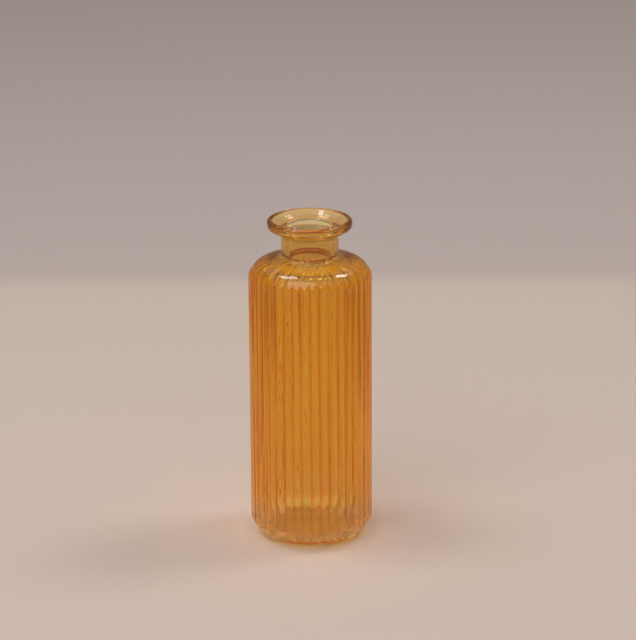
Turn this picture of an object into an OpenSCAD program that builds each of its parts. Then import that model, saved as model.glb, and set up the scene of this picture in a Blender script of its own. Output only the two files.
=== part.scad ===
// Reeded bottle vase in one colour of glass: a straight round body under a rounded shoulder,
// a short plain neck and a flared lip. Millimetres, +Z up, origin on the table under the axis.
// The reeds climb from rounded tips on the heel, run up the wall and end in rounded tips where the
// smooth shoulder turns in.

/* [Whole vase] */
// Height from the table to the top of the lip
vase_h = 134; // [129:1:150]
// Width of the body over the crowns of the reeds
body_d = 50; // [46:1:60]

/* [Reeds] */
// Number of reeds round the body
reeds = 42; // [24:2:48]
// Height of a reed's crown above the grooves beside it
reed_rise = 0.6; // [0.3:0.05:0.9]
// Height of the reeds' lower tips above the table
reed_foot = 5; // [3:0.1:5.5]
// Height of the reeds' upper tips above the line where the shoulder turns in
reed_head = 3.5; // [2:0.1:5]

/* [Heel and shoulder] */
// Radius of the heel, between the foot and the wall
heel_r = 8; // [6:0.5:8]
// Radius of the shoulder, between the wall and its top
shoulder_r = 7; // [6.5:0.5:8]
// Height at which the wall starts to turn in
turn_z = 110; // [102:0.5:111]
// Angle at which the shoulder's top climbs to the neck
shoulder_lean = 12.5; // [10:0.5:14]
// Radius of the hollow curve where the shoulder's top turns up into the neck
neck_fillet = 1; // [0.5:0.1:1.5]

/* [Glass] */
// Thickness of the glass under a groove
wall = 2.3; // [1.8:0.1:2.6]
// Thickness of the glass in the neck
neck_wall = 3.1; // [2.6:0.1:3.4]
// Height of the floor inside
floor_h = 3.5; // [3.2:0.1:5]
// Radius of the corner between floor and wall inside
corner_r = 5; // [4.7:0.1:6]
// Radius inside between the wall and the shoulder's ceiling
ceiling_r = 5.2; // [4.7:0.1:5.5]
// Angle at which the ceiling climbs to the bore
ceiling_lean = 16; // [13:0.5:17]
// Radius of the curve between the ceiling and the bore
flare_r = 4.5; // [3:0.1:5]
// Depth of the hollow under the foot
push_up = 1.2; // [0.8:0.1:1.8]
// Width of the flat ring that the vase stands on
foot_ring = 3; // [2:0.5:4]

/* [Neck and lip] */
// Outside diameter of the neck
neck_d = 23.4; // [22.6:0.2:24]
// Diameter over the lip
lip_d = 34.4; // [33:0.2:36]
// Radius of the lip's edge above
lip_over_r = 1.3; // [1:0.1:1.6]
// Radius of the lip's edge below
lip_under_r = 2; // [1.5:0.1:2.5]
// Height of the upright band between the two
lip_band = 1; // [0.6:0.1:2]
// Angle at which the underside of the lip climbs
lip_angle = 30; // [24:1:34]
// Radius of the hollow curve between neck and lip
lip_fillet = 1; // [0.6:0.1:1.6]
// Angle at which the mouth falls away from the edge of the lip
mouth_angle = 35; // [30:1:40]
// Radius at which the mouth flattens out into a dish
dish_r = 12; // [11.5:0.1:12.5]
// Radius of the curve at which it flattens
dish_corner = 1.5; // [1:0.1:2]
// Angle at which the dish falls to the throat
dish_angle = 8; // [5:1:12]
// Radius of the rounded throat
throat_r = 1.2; // [0.8:0.1:1.5]

/* [Hidden] */

$fn = 126;
amber = [0.80, 0.50, 0.15];
facets = 4;                              // flats across one reed
points = reeds * facets;                 // points round one section
groove_r = body_d / 2 - reed_rise;       // radius at the bottom of the grooves
hollow_r = groove_r - wall;              // radius of the hollow inside
neck_r = neck_d / 2;
bore_r = neck_r - neck_wall;
base_top = floor_h + corner_r;           // the base ends where its inside corner meets the wall
heel_c = groove_r - heel_r;              // radius of the ring of centres of the heel's curve
punt_r = heel_c - foot_ring;             // radius of the hollow under the foot
punt_ball = (punt_r * punt_r + push_up * push_up) / (2 * push_up);

// The centre at radius r of a curve that touches a straight slope, climbing outwards at the given
// angle, when the curve at the slope's other end has its centre at c and the two lie away apart
function centre(c, away, r, slope) = [r, c.y + (away - sin(slope) * (c.x - r)) / cos(slope)];

// Centres of the section's curves, in [radius, height]: outside from the shoulder to the neck
turn_c = [groove_r - shoulder_r, turn_z];
fillet_c = centre(turn_c, shoulder_r + neck_fillet, neck_r + neck_fillet, -shoulder_lean);
neck_z = fillet_c.y;                     // height at which the neck is straight
// the same inside
ceiling_c = [hollow_r - ceiling_r, turn_z];
flare_c = centre(ceiling_c, ceiling_r + flare_r, bore_r + flare_r, -ceiling_lean);
// the lip's two edges and its underside
over_c = [lip_d / 2 - lip_over_r, vase_h - lip_over_r];
under_c = [lip_d / 2 - lip_under_r, vase_h - lip_over_r - lip_band];
root_c = centre(under_c, -lip_under_r - lip_fillet, neck_r + lip_fillet, lip_angle);
lip_z = root_c.y;                        // height at which the neck ends
// the mouth, from the lip's edge to the throat
dish_c = centre(over_c, lip_over_r + dish_corner, dish_r, mouth_angle);
throat_c = centre(dish_c, -dish_corner - throat_r, bore_r + throat_r, dish_angle);

// Points on an arc about c, in [radius, height]
function arc(c, r, from, to, steps) =
    [for (i = [0 : steps]) let (a = from + (to - from) * i / steps) c + r * [cos(a), sin(a)]];

// Share of its full rise that a reed has at point i of a section: 1 on the crown, 0 in a groove
function crown(i) =
    let (across = (i % facets) / facets)
    1 - pow(2 * min(across, 1 - across), 2);

// One section: the point p = [radius, height] taken round the axis, with reeds of the given rise
// standing out along the direction lean, in degrees above the horizontal
function section(p, lean, rise) =
    [for (i = [0 : points - 1])
        let (a = 360 * i / points, q = p + rise * crown(i) * [cos(lean), sin(lean)])
        [q.x * cos(a), q.x * sin(a), q.y]];

// Rise of the reeds at a share s of the way from a tip to the wall, and so at height z on the heel
// and on the shoulder
function tip_rise(s) = let (t = min(1, max(0, s))) reed_rise * t * (2 - t);
function foot_rise(z) = tip_rise((z - reed_foot) / (heel_r - reed_foot));
function head_rise(z) = tip_rise((turn_z + reed_head - z) / reed_head);

// Closed solid through a stack of sections, lowest or outermost first
module loft(sections) {
    rows = len(sections);
    sides = [for (k = [0 : rows - 2], i = [0 : points - 1])
        let (j = (i + 1) % points)
        [k * points + i, (k + 1) * points + i, (k + 1) * points + j, k * points + j]];
    first = [for (i = [0 : points - 1]) i];
    last = [for (i = [points - 1 : -1 : 0]) (rows - 1) * points + i];
    polyhedron([for (s = sections, p = s) p], concat([first], sides, [last]), convexity = 6);
}

// The space inside the vase, from the floor up past the top of the neck
module hollow() {
    rotate_extrude()
        polygon(concat(
            [[0, floor_h]],
            arc([hollow_r - corner_r, base_top], corner_r, 270, 360, 8),
            arc(ceiling_c, ceiling_r, 0, 90 - ceiling_lean, 9),
            arc(flare_c, flare_r, 270 - ceiling_lean, 180, 8),
            [[bore_r, lip_z + 1], [0, lip_z + 1]]));
}

module base() {
    heel = [for (t = [-90 : 7.5 : 0])
        let (p = [heel_c, heel_r] + heel_r * [cos(t), sin(t)])
        section(p, t, foot_rise(p.y))];
    color(amber)
        difference() {
            loft(concat(heel, [section([groove_r, base_top], 0, reed_rise)]));
            hollow();
            translate([0, 0, push_up - punt_ball]) sphere(punt_ball);
        }
}

module body() {
    color(amber)
        difference() {
            translate([0, 0, base_top])
                linear_extrude(turn_z - base_top)
                    polygon([for (p = section([groove_r, 0], 0, reed_rise)) [p.x, p.y]]);
            hollow();
        }
}

module shoulder() {
    brow = 90 - shoulder_lean;           // direction in which the shoulder's top faces
    turn = [for (k = [0 : 12])
        let (t = brow * k / 12, p = turn_c + shoulder_r * [cos(t), sin(t)])
        section(p, t, head_rise(p.y))];
    rise = [for (p = arc(fillet_c, neck_fillet, 180 + brow, 180, 4)) section(p, brow, 0)];
    color(amber)
        difference() {
            loft(concat(turn, rise));
            hollow();
        }
}

module neck() {
    color(amber)
        difference() {
            translate([0, 0, neck_z]) cylinder(h = lip_z - neck_z, r = neck_r);
            hollow();
        }
}

module lip() {
    color(amber)
        rotate_extrude()
            polygon(concat(
                arc(root_c, lip_fillet, 180, 90 + lip_angle, 6),
                arc(under_c, lip_under_r, lip_angle - 90, 0, 6),
                arc(over_c, lip_over_r, 0, 90 + mouth_angle, 8),
                arc(dish_c, dish_corner, 270 + mouth_angle, 270 + dish_angle, 5),
                arc(throat_c, throat_r, 90 + dish_angle, 180, 7),
                [[bore_r, lip_z]]));
}

base();
body();
shoulder();
neck();
lip();
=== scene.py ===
"""Looks of the reeded amber bud vase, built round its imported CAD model.

The vase is one piece of glass, so one closed mesh stands for all five regions of the CAD model.
Its section is drawn point by point, spun round the axis, and the reeds are raised on it.
"""

import math

import bpy
from mathutils import Matrix, Vector, noise


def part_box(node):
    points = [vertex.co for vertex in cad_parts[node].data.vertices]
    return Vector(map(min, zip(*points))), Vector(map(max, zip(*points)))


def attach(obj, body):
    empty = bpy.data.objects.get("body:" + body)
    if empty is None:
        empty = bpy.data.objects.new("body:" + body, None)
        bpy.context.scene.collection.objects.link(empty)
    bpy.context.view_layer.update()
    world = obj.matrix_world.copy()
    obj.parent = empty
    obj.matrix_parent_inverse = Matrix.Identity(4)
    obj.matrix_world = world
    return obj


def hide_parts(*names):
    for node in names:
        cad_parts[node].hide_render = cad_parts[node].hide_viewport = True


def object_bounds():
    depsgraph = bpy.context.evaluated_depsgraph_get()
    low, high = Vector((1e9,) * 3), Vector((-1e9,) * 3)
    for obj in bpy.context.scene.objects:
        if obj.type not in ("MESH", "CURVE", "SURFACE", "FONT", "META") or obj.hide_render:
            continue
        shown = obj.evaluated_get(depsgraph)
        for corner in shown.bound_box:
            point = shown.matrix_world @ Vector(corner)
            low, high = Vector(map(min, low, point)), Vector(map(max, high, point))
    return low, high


bl_info = {
    "name": "Reeded Bud Vase",
    "version": (1, 0, 0),
    "blender": (4, 5, 0),
    "location": "View3D > Sidebar > Vase",
    "description": "Models a reeded amber glass bud vase and a plain stage for it",
    "category": "Add Mesh",
}

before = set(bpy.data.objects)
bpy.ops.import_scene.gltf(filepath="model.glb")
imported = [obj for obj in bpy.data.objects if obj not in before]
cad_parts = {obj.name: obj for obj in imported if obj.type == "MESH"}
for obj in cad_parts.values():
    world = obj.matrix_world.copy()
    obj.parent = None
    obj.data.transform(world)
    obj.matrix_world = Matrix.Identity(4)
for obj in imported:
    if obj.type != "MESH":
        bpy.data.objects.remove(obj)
CAD_LOW, CAD_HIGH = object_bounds()

STAIN_SHARE = "stain_share"
# Attribute of the painted shade: how far the stain is darkened in the grooves
GROOVE_SHADE_SHARE = "groove_shade_share"

# Making meshes: steps round the axis, the length that counts as nothing, and the sharpest angle
# that is still shaded smooth
STEPS_PER_REED = 10
FLOOR_STEPS = 96
TINY = 1e-6
SMOOTH_ANGLE = math.radians(40)

# How far glass faces outwards, from -1 to 1: where the stain on neck and lip has faded out and
# where it is full, and at most on the wall inside
LIP_FADE = (-0.5, 0.1)
FACES_IN = -0.3

# How fine the unevenness is, of the ripple inside and of the painted shade in the grooves: round
# the wall, and up it per metre
RIPPLE_GRAIN = (16, 15)
GROOVE_SHADE_GRAIN = (20, 12)

# The stage: how often light may pass or bounce, its colour, and the camera
GLASS_BOUNCES = 32
WARM_WHITE = (1.0, 0.98, 0.96)
CAMERA_LENS = 154.1
CAMERA_SENSOR = 36.0
CAMERA_PLACE = (0.0031, -1.0568, 0.4346)
CAMERA_TILT = math.radians(72)
CAMERA_ROLL = math.radians(-0.36)


def low(node):
    """Height of a CAD node's lowest point."""
    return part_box(node)[0].z


def high(node):
    """Height of a CAD node's highest point."""
    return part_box(node)[1].z


def reach(node):
    """Largest radius of a CAD node."""
    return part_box(node)[1].x


# ---------------------------------------------------------------------------------------------
# Sizes and colours
# ---------------------------------------------------------------------------------------------


class VaseForm(bpy.types.PropertyGroup):
    """Sizes of the glass that the CAD boxes don't give."""

    reeds: bpy.props.IntProperty(
        name="Reeds", description="Number of reeds round the body", default=42, min=24, max=48
    )
    reed_rise: bpy.props.FloatProperty(
        name="Reed rise", description="Height of a crown above its grooves",
        default=0.0006, unit="LENGTH", precision=5,
    )
    reed_foot: bpy.props.FloatProperty(
        name="Reed foot", description="Height of the reeds' lower tips",
        default=0.005, unit="LENGTH",
    )
    reed_head: bpy.props.FloatProperty(
        name="Reed head",
        description="Height of the reeds' upper tips above the start of the shoulder",
        default=0.0035, unit="LENGTH",
    )
    wall: bpy.props.FloatProperty(
        name="Wall", description="Thickness of the glass under a groove",
        default=0.0023, unit="LENGTH",
    )
    heel_r: bpy.props.FloatProperty(
        name="Heel radius", description="Radius of the heel's curve", default=0.008, unit="LENGTH"
    )
    shoulder_r: bpy.props.FloatProperty(
        name="Shoulder radius", description="Radius of the shoulder's curve",
        default=0.007, unit="LENGTH",
    )
    floor_h: bpy.props.FloatProperty(
        name="Floor", description="Height of the floor inside", default=0.0035, unit="LENGTH"
    )
    corner_r: bpy.props.FloatProperty(
        name="Corner radius", description="Radius between floor and wall inside",
        default=0.005, unit="LENGTH",
    )
    shoulder_lean: bpy.props.FloatProperty(
        name="Shoulder lean", description="Climb of the shoulder's top towards the neck",
        default=math.radians(12.5), subtype="ANGLE",
    )
    neck_fillet: bpy.props.FloatProperty(
        name="Neck fillet", description="Radius outside between the shoulder and the neck",
        default=0.001, unit="LENGTH",
    )
    ceiling_r: bpy.props.FloatProperty(
        name="Ceiling radius", description="Radius inside between the wall and the ceiling",
        default=0.0052, unit="LENGTH",
    )
    ceiling_lean: bpy.props.FloatProperty(
        name="Ceiling lean", description="Climb of the ceiling inside towards the bore",
        default=math.radians(16), subtype="ANGLE",
    )
    flare_r: bpy.props.FloatProperty(
        name="Flare radius", description="Radius inside between the ceiling and the bore",
        default=0.0025, unit="LENGTH",
    )
    neck_wall: bpy.props.FloatProperty(
        name="Neck's wall", description="Thickness of the glass in the neck",
        default=0.0031, unit="LENGTH",
    )
    push_up: bpy.props.FloatProperty(
        name="Push-up", description="Depth of the hollow under the foot",
        default=0.0003, unit="LENGTH",
    )
    foot_ring: bpy.props.FloatProperty(
        name="Foot ring", description="Width of the ring that it stands on",
        default=0.003, unit="LENGTH",
    )
    lip_over_r: bpy.props.FloatProperty(
        name="Upper edge", description="Radius of the lip's edge above",
        default=0.0013, unit="LENGTH",
    )
    lip_under_r: bpy.props.FloatProperty(
        name="Lower edge", description="Radius of the lip's edge below",
        default=0.002, unit="LENGTH",
    )
    lip_band: bpy.props.FloatProperty(
        name="Lip band", description="Upright band between the lip's two edges",
        default=0.001, unit="LENGTH",
    )
    lip_angle: bpy.props.FloatProperty(
        name="Lip angle", description="Climb of the lip's underside",
        default=math.radians(30), subtype="ANGLE",
    )
    lip_fillet: bpy.props.FloatProperty(
        name="Lip fillet", description="Radius between neck and lip", default=0.001, unit="LENGTH"
    )
    mouth_angle: bpy.props.FloatProperty(
        name="Mouth angle", description="Fall of the mouth from the lip's edge",
        default=math.radians(35), subtype="ANGLE",
    )
    dish_r: bpy.props.FloatProperty(
        name="Dish radius", description="Radius at which the mouth flattens out",
        default=0.012, unit="LENGTH",
    )
    dish_corner: bpy.props.FloatProperty(
        name="Dish corner", description="Radius of the curve at which it flattens",
        default=0.0015, unit="LENGTH",
    )
    dish_angle: bpy.props.FloatProperty(
        name="Dish angle", description="Fall of the flatter part towards the throat",
        default=math.radians(8), subtype="ANGLE",
    )
    throat_r: bpy.props.FloatProperty(
        name="Throat radius", description="Radius of the rounded throat",
        default=0.0012, unit="LENGTH",
    )
    ripple: bpy.props.FloatProperty(
        name="Ripple", description="Height of the uneven swells on the wall inside",
        default=0.001, unit="LENGTH",
    )


class VaseGlass(bpy.types.PropertyGroup):
    """Colours of the glass."""

    stain: bpy.props.FloatVectorProperty(
        name="Stain", description="Tint of the stain on the outside, on the crowns of the reeds",
        subtype="COLOR", size=3, default=(1.0, 0.56, 0.03), min=0, max=1,
    )
    # Painted shade: the grooves get a darker, redder stain, which stands in for the dark streaks
    # that the reeds bend into view
    groove_shade: bpy.props.FloatVectorProperty(
        name="Pooled stain", description="Tint of the stain that has pooled in the grooves",
        subtype="COLOR", size=3, default=(0.90, 0.21, 0.0), min=0, max=1,
    )
    # Strength of the painted shade in the grooves
    groove_shading: bpy.props.FloatProperty(
        name="Pooling", description="How far the stain has pooled, before its unevenness",
        default=2.2, min=0,
    )
    depth_tint: bpy.props.FloatVectorProperty(
        name="Depth tint", description="Colour that the glass itself turns where it is thick",
        subtype="COLOR", size=3, default=(0.92, 0.76, 0.38), min=0, max=1,
    )
    depth: bpy.props.FloatProperty(
        name="Depth", description="How fast the glass takes its own colour, per metre", default=40.0
    )
    ior: bpy.props.FloatProperty(
        name="IOR", description="Refractive index of the glass", default=1.5, min=1.4, max=1.6
    )
    paler_top: bpy.props.FloatProperty(
        name="Paler top", description="Share of the stain that neck and lip lack", default=0.1
    )
    paler_foot: bpy.props.FloatProperty(
        name="Paler foot", description="Share of the stain that the heel lacks", default=0.15
    )
    paler_reach: bpy.props.FloatProperty(
        name="Paler reach",
        description="Height up to which the stain is paler, in heights of the base",
        default=2.5, min=1,
    )
    paler_below: bpy.props.FloatProperty(
        name="Paler below",
        description="Distance under the shoulder at which the stain starts to pale",
        default=0.004, unit="LENGTH",
    )
    stain_low: bpy.props.FloatProperty(
        name="Stain's end", description="Height on the heel at which the stain has faded out",
        default=0.002, unit="LENGTH",
    )
    stain_full: bpy.props.FloatProperty(
        name="Stain's start", description="Height above which the stain is full",
        default=0.007, unit="LENGTH",
    )


class VaseStage(bpy.types.PropertyGroup):
    """Floor, backdrop and light."""

    floor_colour: bpy.props.FloatVectorProperty(
        name="Floor", description="Colour of the floor near the vase",
        subtype="COLOR", size=3, default=(0.57, 0.47, 0.41), min=0, max=1,
    )
    backdrop_colour: bpy.props.FloatVectorProperty(
        name="Backdrop", description="Colour of the floor and backdrop further out",
        subtype="COLOR", size=3, default=(0.47, 0.40, 0.375), min=0, max=1,
    )
    # Painted shade: the floor is darker at both sides, standing in for dimmer surroundings, so that
    # the reeds' edges look dark through the glass
    side_shade_colour: bpy.props.FloatVectorProperty(
        name="Sides",
        description="Colour of the floor at both sides, which darkens the reeds' edges",
        subtype="COLOR", size=3, default=(0.39, 0.28, 0.22), min=0, max=1,
    )
    pale_width: bpy.props.FloatProperty(
        name="Pale width", description="Width of the floor's pale strip",
        default=0.31, unit="LENGTH",
    )
    fade: bpy.props.FloatProperty(
        name="Fade", description="Width over which the floor darkens at the sides",
        default=0.08, unit="LENGTH",
    )
    floor_reach: bpy.props.FloatProperty(
        name="Floor's reach", description="Distance from the vase at which the floor's colour ends",
        default=0.33, unit="LENGTH",
    )
    floor_edge: bpy.props.FloatProperty(
        name="Floor's edge", description="Width over which it turns to the backdrop's colour",
        default=0.04, unit="LENGTH",
    )
    room_light: bpy.props.FloatProperty(
        name="Room light", description="Strength of the even light from all round", default=0.6
    )
    front_watts: bpy.props.FloatProperty(
        name="Front light", description="Power of the large soft light in front", default=9.8
    )
    left_watts: bpy.props.FloatProperty(
        name="Left light", description="Power of the soft light above on the left", default=4.5
    )
    right_watts: bpy.props.FloatProperty(
        name="Right light", description="Power of the soft light above on the right", default=4.0
    )


# ---------------------------------------------------------------------------------------------
# Shader nodes written as expressions
# ---------------------------------------------------------------------------------------------


class Wire:
    """A socket's value, which expressions can use."""

    def __init__(self, finish, socket):
        self.finish = finish
        self.socket = socket

    def __abs__(self):
        return self.finish.node("ShaderNodeMath", {"operation": "ABSOLUTE"}, {0: self})

    def beside(self, name):
        """Another output of the same node."""
        return Wire(self.finish, self.socket.node.outputs[name])


class Finish:
    """A material, or the world, and the nodes in it."""

    def __init__(self, block):
        block.use_nodes = True
        self.block = block
        self.tree = block.node_tree
        self.tree.nodes.clear()

    def node(self, kind, settings=None, values=None, out=0):
        """Adds a node, sets it up, feeds its sockets with values or wires, and gives one output."""
        made = self.tree.nodes.new(kind)
        for name, value in (settings or {}).items():
            setattr(made, name, value)
        for name, value in (values or {}).items():
            if isinstance(value, Wire):
                self.tree.links.new(value.socket, made.inputs[name])
            else:
                made.inputs[name].default_value = value
        return Wire(self, made.outputs[out]) if made.outputs else None

    def step(self, value, start, end):
        """0 before start and 1 after end, with a smooth change between."""
        return self.node(
            "ShaderNodeMapRange", {"interpolation_type": "SMOOTHSTEP"},
            {"Value": value, "From Min": start, "From Max": end},
        )

    def mix(self, share, first, second):
        """A blend of two colours."""
        return self.node(
            "ShaderNodeMix", {"data_type": "RGBA"}, {"Factor": share, 6: first, 7: second}, out=2
        )


def colour(rgb):
    """A property's colour with an alpha of 1."""
    return (*rgb, 1.0)


def glass_finish(look):
    """Polished amber glass, stained on its outside, with painted shade that darkens the stain in
    the grooves.
    """
    finish = Finish(bpy.data.materials.new("amber_glass"))
    where = finish.node("ShaderNodeTexCoord", out="Object")
    swirl = finish.node(
        "ShaderNodeTexNoise",
        values={"Vector": where, "Scale": 90.0, "Detail": 2.0, "Roughness": 0.5},
    )
    bump = finish.node(
        "ShaderNodeBump", values={"Height": swirl, "Strength": 0.04, "Distance": 0.001}
    )
    share = finish.node("ShaderNodeAttribute", {"attribute_name": STAIN_SHARE}, out="Fac")
    # Painted shade: the stain turns darker and redder in the grooves
    shade_in_groove = finish.node("ShaderNodeAttribute", {"attribute_name": GROOVE_SHADE_SHARE}, out="Fac")
    stain = finish.mix(shade_in_groove, colour(look.stain), colour(look.groove_shade))
    tint = finish.mix(share, colour((1, 1, 1)), stain)
    surface = finish.node(
        "ShaderNodeBsdfPrincipled",
        values={
            "Base Color": tint, "Roughness": 0.0, "IOR": look.ior, "Transmission Weight": 1.0,
            "Normal": bump,
        },
    )
    inside = finish.node(
        "ShaderNodeVolumeAbsorption",
        values={"Color": colour(look.depth_tint), "Density": look.depth},
    )
    finish.node("ShaderNodeOutputMaterial", values={"Surface": surface, "Volume": inside})
    return finish.block


def floor_finish(stage):
    """Matt pale floor with painted shade, a little darker at both sides, in the backdrop's colour
    further out.
    """
    finish = Finish(bpy.data.materials.new("matt_floor"))
    where = finish.node("ShaderNodeTexCoord", out="Object")
    parts = finish.node("ShaderNodeSeparateXYZ", values={"Vector": where})
    aside, back = abs(parts.beside("X")), abs(parts.beside("Y"))
    away = finish.node("ShaderNodeMath", {"operation": "MAXIMUM"}, {0: aside, 1: back})
    # Painted shade at both sides of the floor
    side_shade = finish.step(aside, stage.pale_width / 2, stage.pale_width / 2 + stage.fade)
    near = finish.mix(side_shade, colour(stage.floor_colour), colour(stage.side_shade_colour))
    outside = finish.step(away, stage.floor_reach, stage.floor_reach + stage.floor_edge)
    paint = finish.mix(outside, near, colour(stage.backdrop_colour))
    surface = finish.node(
        "ShaderNodeBsdfPrincipled", values={"Base Color": paint, "Roughness": 0.8}
    )
    finish.node("ShaderNodeOutputMaterial", values={"Surface": surface})
    return finish.block


# ---------------------------------------------------------------------------------------------
# Making meshes
# ---------------------------------------------------------------------------------------------


def arc(centre, radius, start, end, steps):
    """Points (radius, height) on an arc from start to end, in degrees."""
    turns = [math.radians(start + (end - start) * i / steps) for i in range(steps + 1)]
    return [(centre[0] + radius * math.cos(t), centre[1] + radius * math.sin(t)) for t in turns]


def straight(start, end, steps):
    """Points between two points, both left out."""
    shares = [i / steps for i in range(1, steps)]
    return [tuple(a + (b - a) * s for a, b in zip(start, end)) for s in shares]


def on_slope(start, away, r, slope):
    """The point at radius r on a line of the given slope that passes start at the distance away."""
    return (r, start[1] + (away - math.sin(slope) * (start[0] - r)) / math.cos(slope))


def spun(name, points, steps):
    """A mesh object: a line of (radius, height) points spun once round the Z axis."""
    bpy.ops.object.select_all(action="DESELECT")
    first = points[0]
    bpy.ops.mesh.primitive_plane_add(size=0.001, location=(0, 0, 0))
    made = bpy.context.object
    made.name = made.data.name = name
    bpy.ops.object.mode_set(mode="EDIT")
    bpy.ops.mesh.merge(type="CENTER")
    bpy.ops.transform.translate(value=(first[0], 0, first[1]))
    for (r, z), (next_r, next_z) in zip(points, points[1:]):
        way = (next_r - r, 0, next_z - z)
        bpy.ops.mesh.extrude_vertices_move(TRANSFORM_OT_translate={"value": way})
    bpy.ops.mesh.select_all(action="SELECT")
    bpy.ops.mesh.spin(steps=steps, angle=2 * math.pi, center=(0, 0, 0), axis=(0, 0, 1))
    bpy.ops.mesh.select_all(action="SELECT")
    bpy.ops.mesh.remove_doubles(threshold=TINY)
    bpy.ops.mesh.normals_make_consistent(inside=False)
    bpy.ops.object.mode_set(mode="OBJECT")
    return made


def smoothed(piece):
    """Shades a piece smooth, but for its sharp edges."""
    bpy.ops.object.select_all(action="DESELECT")
    piece.select_set(True)
    bpy.context.view_layer.objects.active = piece
    bpy.ops.object.shade_smooth_by_angle(angle=SMOOTH_ANGLE)


def outwards(vertex):
    """How far a vertex faces away from the Z axis: 1 outwards, -1 inwards."""
    place, normal = vertex.co, vertex.normal
    r = max(math.hypot(place.x, place.y), TINY)
    return (place.x * normal.x + place.y * normal.y) / r


def unevenness(place, grain):
    """Smooth noise between 0 and 1, at a place on a wall round the Z axis."""
    round_it, up_it = grain
    a = math.atan2(place.y, place.x)
    spot = Vector((round_it * math.cos(a), round_it * math.sin(a), up_it * place.z))
    return 0.5 + 0.5 * noise.noise(spot)


def smooth(value, start, end):
    """0 before start and 1 after end, with a smooth change between."""
    s = min(1.0, max(0.0, (value - start) / (end - start)))
    return s * s * (3 - 2 * s)


class Section:
    """The vase's section, worked out from the CAD boxes and the form's sizes."""

    def __init__(self, form):
        self.form = form
        self.groove_r = reach("body") - form.reed_rise
        self.neck_r = reach("neck")
        self.bore_r = self.neck_r - form.neck_wall
        self.base_top = high("base")
        self.turn_z = low("shoulder")
        self.neck_z = low("neck")
        self.top_z = CAD_HIGH.z
        self.lip_r = reach("lip")
        self.lip_z = low("lip")
        self.hollow_r = self.groove_r - form.wall
        # Where the curves of the heel, the shoulder and the lip's upper edge have their centres
        self.heel_c = (self.groove_r - form.heel_r, form.heel_r)
        self.turn_c = (self.groove_r - form.shoulder_r, self.turn_z)
        self.over_c = (self.lip_r - form.lip_over_r, self.top_z - form.lip_over_r)
        self.punt_r = self.heel_c[0] - form.foot_ring

    def outside(self):
        """Points from the middle of the push-up, out round the foot and up to the lip's edge."""
        form = self.form
        lip_angle = math.degrees(form.lip_angle)
        mouth_angle = math.degrees(form.mouth_angle)
        shares = [i / 8 for i in range(9)]
        punt = [
            (self.punt_r * s, form.push_up * (0.5 + 0.5 * math.cos(math.pi * s))) for s in shares
        ]
        heel = arc(self.heel_c, form.heel_r, -90, 0, 18)
        wall = straight(heel[-1], (self.groove_r, self.turn_z), 24)
        lean = math.degrees(form.shoulder_lean)
        turn = arc(self.turn_c, form.shoulder_r, 0, 90 - lean, 14)
        fillet_c = (self.neck_r + form.neck_fillet, self.neck_z)
        rise = arc(fillet_c, form.neck_fillet, 270 - lean, 180, 6)
        top = straight(turn[-1], rise[0], 6)
        root_c = (self.neck_r + form.lip_fillet, self.lip_z)
        root = arc(root_c, form.lip_fillet, 180, 90 + lip_angle, 4)
        neck = straight(rise[-1], root[0], 5)
        under_c = (self.lip_r - form.lip_under_r, self.over_c[1] - form.lip_band)
        under = arc(under_c, form.lip_under_r, lip_angle - 90, 0, 8)
        over = arc(self.over_c, form.lip_over_r, 0, 90 + mouth_angle, 12)
        slope = straight(root[-1], under[0], 4)
        band = straight(under[-1], over[0], 2)
        return punt + heel + wall + turn + top + rise + neck + root + slope + under + band + over

    def inside(self, edge):
        """Points from the lip's edge down the bore and the wall to the middle of the floor."""
        form = self.form
        fall, dish = math.degrees(form.mouth_angle), math.degrees(form.dish_angle)
        dish_away = form.lip_over_r + form.dish_corner
        dish_c = on_slope(self.over_c, dish_away, form.dish_r, form.mouth_angle)
        bend = arc(dish_c, form.dish_corner, 270 + fall, 270 + dish, 6)
        throat_at, throat_away = self.bore_r + form.throat_r, -form.dish_corner - form.throat_r
        throat_c = on_slope(dish_c, throat_away, throat_at, form.dish_angle)
        throat = arc(throat_c, form.throat_r, 90 + dish, 180, 12)
        slope = straight(edge, bend[0], 4)
        mouth = slope + bend + straight(bend[-1], throat[0], 3) + throat
        lean = math.degrees(form.ceiling_lean)
        turn_c = (self.hollow_r - form.ceiling_r, self.turn_z)
        turn = arc(turn_c, form.ceiling_r, 90 - lean, 0, 12)
        flare_at, flare_away = self.bore_r + form.flare_r, form.ceiling_r + form.flare_r
        flare_c = on_slope(turn_c, flare_away, flare_at, -form.ceiling_lean)
        flare = arc(flare_c, form.flare_r, 180, 270 - lean, 10)
        bore = straight(throat[-1], flare[0], 6)
        ceiling = straight(flare[-1], turn[0], 4)
        corner_c = (self.hollow_r - form.corner_r, form.floor_h + form.corner_r)
        corner = arc(corner_c, form.corner_r, 0, -90, 10)
        wall = straight(turn[-1], corner[0], 30)
        ground = straight(corner[-1], (0, form.floor_h), 8)
        return mouth + bore + flare + ceiling + turn + wall + corner + ground + [(0, form.floor_h)]

    def reeded(self, vertex):
        """How strong the reeds are at a vertex, and how far it lies across one, both 0 to 1."""
        if outwards(vertex) < 0:
            return 0.0, 0.0
        form, place = self.form, vertex.co
        from_foot = (place.z - form.reed_foot) / (form.heel_r - form.reed_foot)
        from_head = (self.turn_z + form.reed_head - place.z) / form.reed_head
        s = min(1.0, max(0.0, min(from_foot, from_head)))
        turn = math.atan2(place.y, place.x) / (2 * math.pi) * form.reeds
        return s * (2 - s), 2 * abs(turn - round(turn))

    def reed_share(self, vertex):
        """How much of its full rise a reed has at a vertex, 0 where there is none."""
        strong, across = self.reeded(vertex)
        return strong * (1 - across * across)

    def groove_shade_share(self, vertex, look):
        """How much painted shade darkens the stain at a vertex: most in a groove, 0 on a crown."""
        strong, across = self.reeded(vertex)
        # Painted shade, strongest in the middle of a groove and uneven along the wall
        groove_shade = strong * across * across * look.groove_shading
        return min(1.0, groove_shade * unevenness(vertex.co, GROOVE_SHADE_GRAIN))

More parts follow.
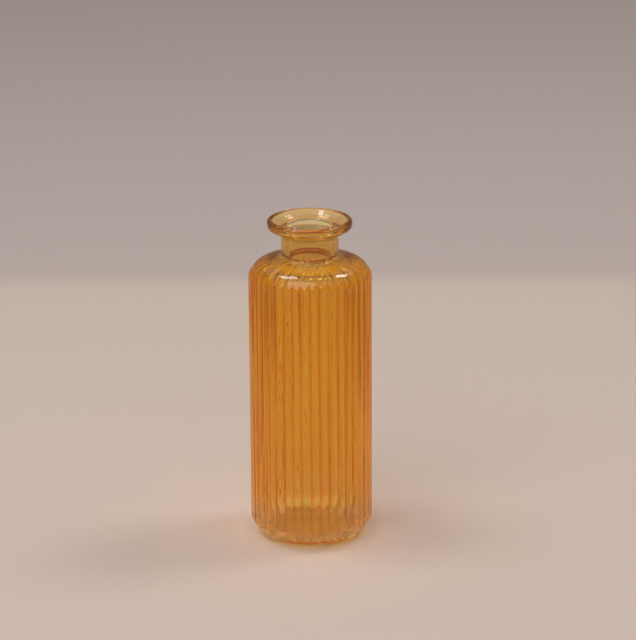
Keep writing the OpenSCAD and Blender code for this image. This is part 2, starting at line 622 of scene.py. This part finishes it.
    def stain_share(self, vertex, look):
        """How much of the stain a vertex has: 1 on the outside, 0 inside, fading at both ends."""
        z, up, out = vertex.co.z, vertex.normal.z, outwards(vertex)
        paler_up = 1 - look.paler_top * smooth(z, self.turn_z - look.paler_below, self.neck_z)
        if z > self.neck_z:
            return paler_up * smooth(out, *LIP_FADE)
        if z > self.base_top:
            above_foot = smooth(z, self.base_top, look.paler_reach * self.base_top)
            paler_down = 1 - look.paler_foot * (1 - above_foot)
            return paler_up * paler_down if out + up > 0 else 0.0
        if out - up < 0:
            return 0.0
        return (1 - look.paler_foot) * smooth(z, look.stain_low, look.stain_full)

    def ripple_share(self, vertex):
        """Unevenness of the wall inside at a vertex, 0 at one that lies elsewhere."""
        place = vertex.co
        within = math.hypot(place.x, place.y) <= self.groove_r - self.form.wall / 2
        if outwards(vertex) > FACES_IN or not within or place.z > self.neck_z:
            return 0.0
        return unevenness(place, RIPPLE_GRAIN)


def marked(piece, name, share):
    """Keeps a share worked out from each vertex as an attribute of a piece."""
    mark = piece.data.attributes.new(name, "FLOAT", "POINT")
    mark.data.foreach_set("value", [share(vertex) for vertex in piece.data.vertices])


def weighted(piece, name, share):
    """A vertex group whose weights are worked out from each vertex."""
    group = piece.vertex_groups.new(name=name)
    for vertex in piece.data.vertices:
        weight = share(vertex)
        if weight > 0:
            group.add([vertex.index], weight, "REPLACE")
    return group


def displaced(piece, group, height):
    """Pushes a piece's surface out along its normals, by the height times the group's weight."""
    change = piece.modifiers.new(group.name, "DISPLACE")
    change.strength = height
    change.mid_level = 0.0
    change.vertex_group = group.name
    bpy.context.view_layer.objects.active = piece
    bpy.ops.object.modifier_apply(modifier=change.name)


# ---------------------------------------------------------------------------------------------
# Operators
# ---------------------------------------------------------------------------------------------


class VASE_OT_glass(bpy.types.Operator):
    """Make the vase: one closed piece of reeded glass"""

    bl_idname = "vase.glass"
    bl_label = "Reeded Glass"

    def execute(self, context):
        form = context.scene.vase_form
        look = context.scene.vase_glass
        section = Section(form)
        outside = section.outside()
        line = outside + section.inside(outside[-1])
        vase = spun("vase_glass", line, form.reeds * STEPS_PER_REED)
        marked(vase, STAIN_SHARE, lambda vertex: section.stain_share(vertex, look))
        # Painted shade in the grooves, kept on each vertex
        marked(vase, GROOVE_SHADE_SHARE, lambda vertex: section.groove_shade_share(vertex, look))
        reeds = weighted(vase, "reeds", section.reed_share)
        ripple = weighted(vase, "ripple", section.ripple_share)
        displaced(vase, reeds, form.reed_rise)
        displaced(vase, ripple, form.ripple)
        vase.data.materials.append(glass_finish(look))
        smoothed(vase)
        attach(vase, "root")
        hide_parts("base", "body", "shoulder", "neck", "lip")
        return {"FINISHED"}


class VASE_OT_stage(bpy.types.Operator):
    """Make the floor, the lights and the camera"""

    bl_idname = "vase.stage"
    bl_label = "Stage"

    def execute(self, context):
        scene = context.scene
        self.backdrop(scene.vase_stage)
        self.room(scene)
        self.camera(scene)
        scene.view_settings.view_transform = "Standard"
        self.clear_paths(scene.cycles)
        return {"FINISHED"}

    def backdrop(self, stage):
        """A round floor that curves up into a backdrop on all sides."""
        flat_r, bend_r, top_z = 3.0, 1.5, 3.5
        flat = [(0, 0), (flat_r / 6, 0), (flat_r / 2, 0)]
        bend = arc((flat_r, bend_r), bend_r, -90, 0, 16)
        floor = spun("floor", flat + bend + [(flat_r + bend_r, top_z)], FLOOR_STEPS)
        floor.data.materials.append(floor_finish(stage))
        smoothed(floor)

    def room(self, scene):
        """Even light from all round, and three soft lights."""
        stage = scene.vase_stage
        world = bpy.data.worlds.new("room")
        scene.world = world
        room = Finish(world)
        light = room.node(
            "ShaderNodeBackground",
            values={"Color": colour(WARM_WHITE), "Strength": stage.room_light},
        )
        room.node("ShaderNodeOutputWorld", values={"Surface": light})
        self.soft_light("front_light", place=(-0.55, -1.1, 1.2), size=1.25, watts=stage.front_watts)
        self.soft_light("left_light", place=(-0.5, 0.05, 1.25), size=0.45, watts=stage.left_watts)
        self.soft_light("right_light", place=(0.7, 0.25, 1.15), size=0.35, watts=stage.right_watts)

    def soft_light(self, name, place, size, watts):
        """A square soft light that looks at the middle of the vase."""
        light = bpy.data.lights.new(name, "AREA")
        light.shape = "SQUARE"
        light.size = size
        light.energy = watts
        light.color = WARM_WHITE
        holder = bpy.data.objects.new(name, light)
        bpy.context.scene.collection.objects.link(holder)
        holder.location = place
        middle = (CAD_LOW + CAD_HIGH) / 2
        holder.rotation_euler = (middle - Vector(place)).to_track_quat("-Z", "Y").to_euler()

    def camera(self, scene):
        """A camera in front, which looks down at the vase a little."""
        camera = bpy.data.cameras.new("camera")
        camera.lens = CAMERA_LENS
        camera.sensor_width = CAMERA_SENSOR
        holder = bpy.data.objects.new("camera", camera)
        scene.collection.objects.link(holder)
        turn = Matrix.Rotation(CAMERA_TILT, 3, "X") @ Matrix.Rotation(CAMERA_ROLL, 3, "Z")
        holder.location = CAMERA_PLACE
        holder.rotation_euler = turn.to_euler()
        scene.camera = holder

    def clear_paths(self, cycles):
        """Lets light run on through many faces of the glass, as sharp after the floor as before."""
        cycles.blur_glossy = 0.0
        cycles.max_bounces = GLASS_BOUNCES
        cycles.transmission_bounces = GLASS_BOUNCES
        cycles.glossy_bounces = GLASS_BOUNCES


class VASE_PT_panel(bpy.types.Panel):
    """Sizes, colours and steps of the vase"""

    bl_idname = "VASE_PT_panel"
    bl_label = "Reeded Bud Vase"
    bl_space_type = "VIEW_3D"
    bl_region_type = "UI"
    bl_category = "Vase"

    def draw(self, context):
        for step in STEPS:
            self.layout.operator(step.bl_idname)
        scene = context.scene
        for group in (scene.vase_form, scene.vase_glass, scene.vase_stage):
            for name in group.__annotations__:
                self.layout.prop(group, name)


STEPS = (VASE_OT_glass, VASE_OT_stage)
CLASSES = (VaseForm, VaseGlass, VaseStage, *STEPS, VASE_PT_panel)


def register():
    for item in CLASSES:
        bpy.utils.register_class(item)
    bpy.types.Scene.vase_form = bpy.props.PointerProperty(type=VaseForm)
    bpy.types.Scene.vase_glass = bpy.props.PointerProperty(type=VaseGlass)
    bpy.types.Scene.vase_stage = bpy.props.PointerProperty(type=VaseStage)


def unregister():
    del bpy.types.Scene.vase_stage
    del bpy.types.Scene.vase_glass
    del bpy.types.Scene.vase_form
    for item in reversed(CLASSES):
        bpy.utils.unregister_class(item)


def main():
    """Builds the piece and the stage."""
    register()
    bpy.ops.vase.glass()
    bpy.ops.vase.stage()


if __name__ == "__main__":
    main()
